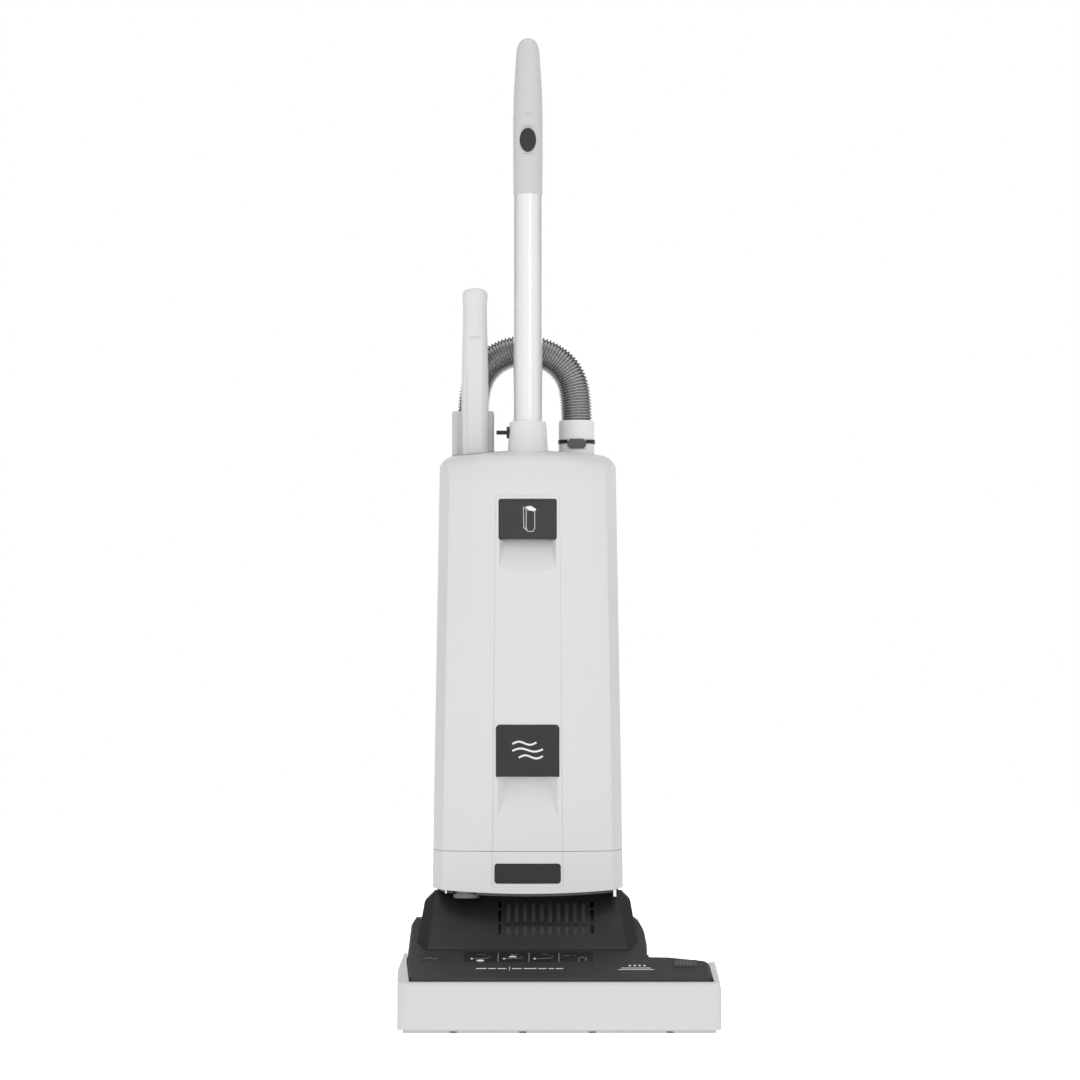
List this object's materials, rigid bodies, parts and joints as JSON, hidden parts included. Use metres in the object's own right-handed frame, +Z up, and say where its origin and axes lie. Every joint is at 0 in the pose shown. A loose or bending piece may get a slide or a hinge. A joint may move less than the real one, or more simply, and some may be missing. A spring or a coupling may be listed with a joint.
{
  "type": "upright vacuum cleaner",
  "caption": "Upright vacuum cleaner with a powered brush head, tilting bag casing with front door, tube handle, lift-out suction wand and short ribbed hose.",
  "frame": {"origin": "on the floor, under the middle of the machine's box at rest", "axes": "+X to the machine's left-hand side as seen by its user facing it (right in a front view), +Y from the bumper to the rear, +Z up"},
  "size_m": [0.395, 0.37, 1.247],
  "materials": {
    "shell_plastic": "fine satin moulded plastic, warm light grey",
    "cover_plastic": "fine satin anthracite plastic",
    "cap_plastic": "mid grey moulded plastic",
    "filter_foam": "open-cell grey filter foam",
    "hump_plastic": "textured anthracite plastic",
    "label_plastic": "smooth dark grey plastic",
    "switch_plastic": "glossy black plastic",
    "tube_metal": "satin anodised drawn tube",
    "steel": "bright steel",
    "motor_metal": "grey painted pressed steel",
    "fan_plastic": "natural glass-filled plastic",
    "drive_plastic": "black filled plastic",
    "bristle": "dark nylon filament",
    "belt_rubber": "toothed rubber belt",
    "tyre_rubber": "soft grey rubber",
    "hose_plastic": "ribbed flexible hose, dark grey",
    "bag_fleece": "white non-woven filter fleece",
    "filter_paper": "pleated filter paper",
    "board_green": "green circuit board"
  },
  "bodies": {
    "head": {"brush_housing": "cover_plastic", "rear_chassis": "cover_plastic", "base_plate": "shell_plastic", "front_bumper": "shell_plastic", "top_cover": "cover_plastic", "motor_hump": "hump_plastic", "info_strip": "switch_plastic", "motor_can": "motor_metal", "stator_core": "motor_metal", "fan_shroud": "drive_plastic", "exhaust_filter": "filter_foam", "suction_duct": "cover_plastic", "drive_belt": "belt_rubber", "shaft_bearings": "steel", "wheel_axle": "steel", "pivot_pins": "steel", "base_screws": "steel", "pedal_spring": "steel"},
    "brush": {"brush_core": "drive_plastic", "brush_bristles": "bristle", "brush_pulley": "drive_plastic"},
    "rotor": {"rotor_shaft": "steel", "armature": "motor_metal", "motor_pulley": "drive_plastic", "fan_impeller": "fan_plastic"},
    "wheel_left": {"left_wheel": "tyre_rubber"},
    "wheel_right": {"right_wheel": "tyre_rubber"},
    "rollers": {"front_rollers": "tyre_rubber"},
    "pedal": {"foot_pedal": "cover_plastic"},
    "brush_button": {"brush_release_button": "label_plastic"},
    "casing": {"neck": "cover_plastic", "lower_casing": "shell_plastic", "lower_panel": "label_plastic", "bottom_gasket": "tyre_rubber", "stop_pads": "shell_plastic", "back_shell": "shell_plastic", "handle_socket": "shell_plastic", "handle_tube": "tube_metal", "handle_grip": "shell_plastic", "cord_inlet": "cover_plastic", "hose_cuff": "shell_plastic", "cuff_band": "cover_plastic", "guide_peg": "cover_plastic", "motor_filter": "filter_paper", "dust_bag": "bag_fleece", "bag_nozzle": "cover_plastic", "lower_cord_hook": "cover_plastic", "control_board": "board_green", "casing_screws": "steel", "hose": "hose_plastic"},
    "cap": {"inspection_cap": "cap_plastic"},
    "door": {"door_shell": "shell_plastic", "badge_plate": "label_plastic"},
    "latch": {"door_latch": "label_plastic"},
    "wand": {"wand_grip": "shell_plastic", "wand_elbow": "shell_plastic", "wand_tube": "cover_plastic"},
    "clip": {"cuff_clip": "cover_plastic"},
    "hook": {"upper_cord_hook": "cover_plastic"},
    "switch": {"power_switch": "switch_plastic"}
  },
  "joints": [
    {"name": "casing_tilt", "type": "hinge", "parent": "head", "child": "casing", "pos_m": [-0.039, 0.095, 0.07], "axis": [-1, 0, 0], "range_deg": [0, 75]},
    {"name": "door_swing", "type": "hinge", "parent": "casing", "child": "door", "pos_m": [-0.039, -0.0705, 0.2165], "axis": [1, 0, 0], "range_deg": [0, 75]},
    {"name": "latch_pull", "type": "hinge", "parent": "door", "child": "latch", "pos_m": [-0.039, -0.064, 0.6515], "axis": [-1, 0, 0], "range_deg": [0, 25], "stiffness_Nm_per_rad": 0.15},
    {"name": "wand_slide", "type": "slide", "parent": "casing", "child": "wand", "axis": [0, 0, 1], "range_m": [0, 0.48], "deforming": ["hose"]},
    {"name": "clip_press", "type": "slide", "parent": "casing", "child": "clip", "axis": [0, 1, 0], "range_m": [0, 0.0025], "stiffness_N_per_m": 400},
    {"name": "hook_swivel", "type": "hinge", "parent": "casing", "child": "hook", "pos_m": [-0.039, 0.115, 0.64], "axis": [0, 1, 0], "range_deg": [0, 180]},
    {"name": "switch_press", "type": "slide", "parent": "casing", "child": "switch", "axis": [0, 1, 0], "range_m": [0, 0.003], "stiffness_N_per_m": 500},
    {"name": "cap_turn", "type": "hinge", "parent": "casing", "child": "cap", "pos_m": [-0.1155, -0.045, 0.163], "axis": [0, 0, 1], "range_deg": [0, 90]},
    {"name": "pedal_press", "type": "hinge", "parent": "head", "child": "pedal", "pos_m": [0.0565, 0.105, 0.058], "axis": [-1, 0, 0], "range_deg": [0, 12], "stiffness_Nm_per_rad": 6, "springref_deg": -5.73, "deforming": ["pedal_spring"]},
    {"name": "brush_button_press", "type": "slide", "parent": "head", "child": "brush_button", "axis": [0, 0, -1], "range_m": [0, 0.004], "stiffness_N_per_m": 500},
    {"name": "brush_spin", "type": "hinge", "parent": "head", "child": "brush", "pos_m": [0, -0.141, 0.031], "axis": [1, 0, 0], "continuous": true},
    {"name": "motor_spin", "type": "hinge", "parent": "head", "child": "rotor", "pos_m": [0, -0.005, 0.092], "axis": [1, 0, 0], "continuous": true},
    {"name": "left_wheel_spin", "type": "hinge", "parent": "head", "child": "wheel_left", "pos_m": [-0.173, 0.1, 0.032], "axis": [1, 0, 0], "continuous": true},
    {"name": "right_wheel_spin", "type": "hinge", "parent": "head", "child": "wheel_right", "pos_m": [0.095, 0.1, 0.032], "axis": [1, 0, 0], "continuous": true},
    {"name": "rollers_spin", "type": "hinge", "parent": "head", "child": "rollers", "pos_m": [0, -0.092, 0.008], "axis": [1, 0, 0], "continuous": true}
  ],
  "couplings": [
    {"joint": "brush_spin", "follows": "motor_spin", "ratio": 0.25}
  ]
}
